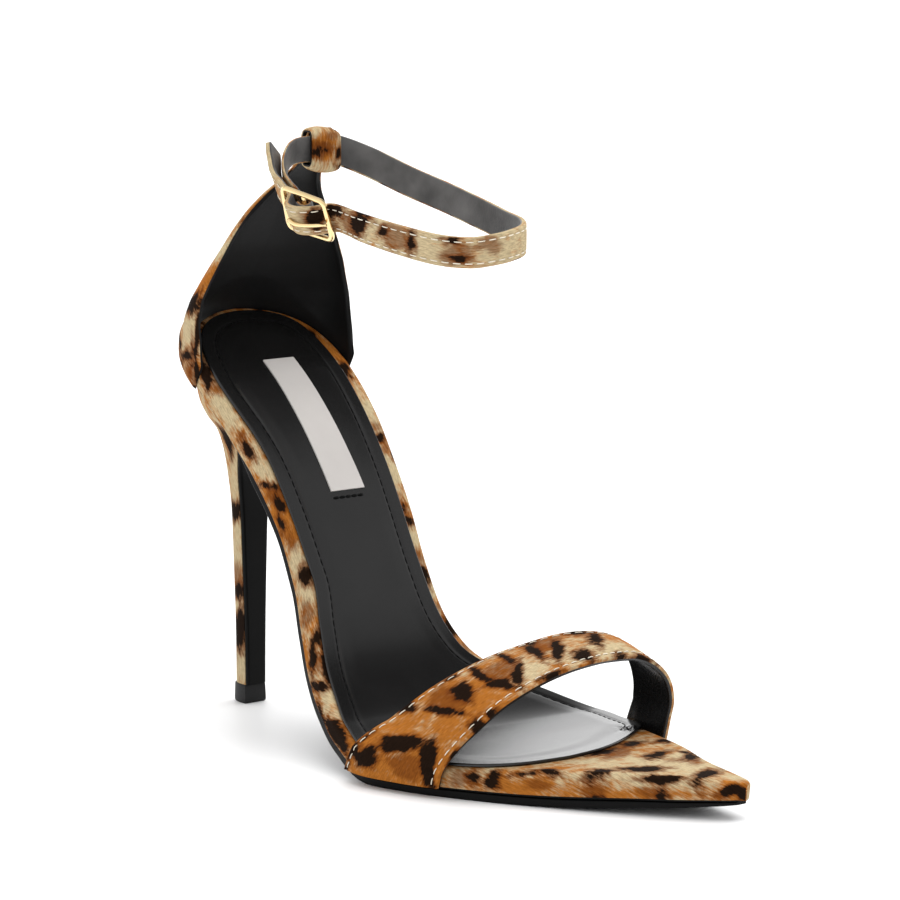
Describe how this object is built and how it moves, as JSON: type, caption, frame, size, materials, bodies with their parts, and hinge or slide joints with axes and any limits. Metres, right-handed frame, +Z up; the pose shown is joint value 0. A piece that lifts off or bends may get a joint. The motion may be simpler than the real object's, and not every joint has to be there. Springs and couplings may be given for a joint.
{
  "type": "ankle strap heel",
  "caption": "Pointed open-toe stiletto sandal in leopard-print short-hair leather, with a closed heel counter, one toe strap and a buckled ankle strap.",
  "frame": {"origin": "on the floor, under the widest part of the forefoot, on the middle line of the sole", "axes": "+X to the toe, +Y to the inner side of the foot, +Z up"},
  "size_m": [0.2055, 0.0851, 0.1634],
  "materials": {
    "leopard_hair": "short hair with a leopard print, low sheen, black lining inside",
    "leopard_heel": "the same print wrapped over the heel",
    "outsole_black": "black painted sole, soft gloss",
    "sock_satin": "black smooth lining leather, soft gloss",
    "label_blank": "plain pale grey patch, no words",
    "tip_rubber": "black hard rubber",
    "buckle_gold": "polished pale gold"
  },
  "bodies": {
    "root": {"outsole": "outsole_black", "board": "leopard_hair", "sock_lining": "sock_satin", "sock_label": "label_blank", "heel": "leopard_heel", "heel_tip": "tip_rubber", "counter": "leopard_hair", "toe_strap": "leopard_hair", "ankle_strap": "leopard_hair", "buckle_strap": "leopard_hair", "buckle_frame": "buckle_gold", "buckle_prong": "buckle_gold"}
  },
  "joints": []
}
